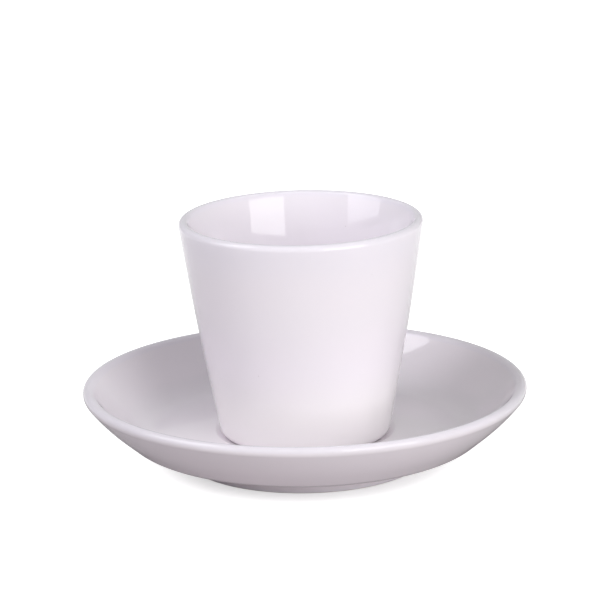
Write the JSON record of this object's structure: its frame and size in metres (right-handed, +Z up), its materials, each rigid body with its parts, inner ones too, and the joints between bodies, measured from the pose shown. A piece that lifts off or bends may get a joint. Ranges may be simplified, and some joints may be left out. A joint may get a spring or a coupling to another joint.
{
  "type": "espresso cup with saucer",
  "caption": "Handleless tapered porcelain espresso cup with a rounded lip, standing in the shallow well of a deep round saucer with a rounded rim and a foot ring.",
  "frame": {"origin": "centre of the saucer's foot ring, on the surface that it stands on", "axes": "+Z up along the common axis of the cup and the saucer; both are round, so X and Y are free, and the picture looks along +Y"},
  "size_m": [0.12, 0.12, 0.0669],
  "materials": {
    "cup_porcelain": "white porcelain under a clear glossy glaze, bare on the foot",
    "saucer_porcelain": "white porcelain under a clear glossy glaze, bare on the foot ring"
  },
  "bodies": {
    "saucer": {"saucer": "saucer_porcelain"},
    "cup": {"cup": "cup_porcelain"}
  },
  "joints": [
    {"name": "cup_lift", "type": "slide", "parent": "saucer", "child": "cup", "axis": [0, 0, 1], "range_m": [0, 0.04]}
  ]
}
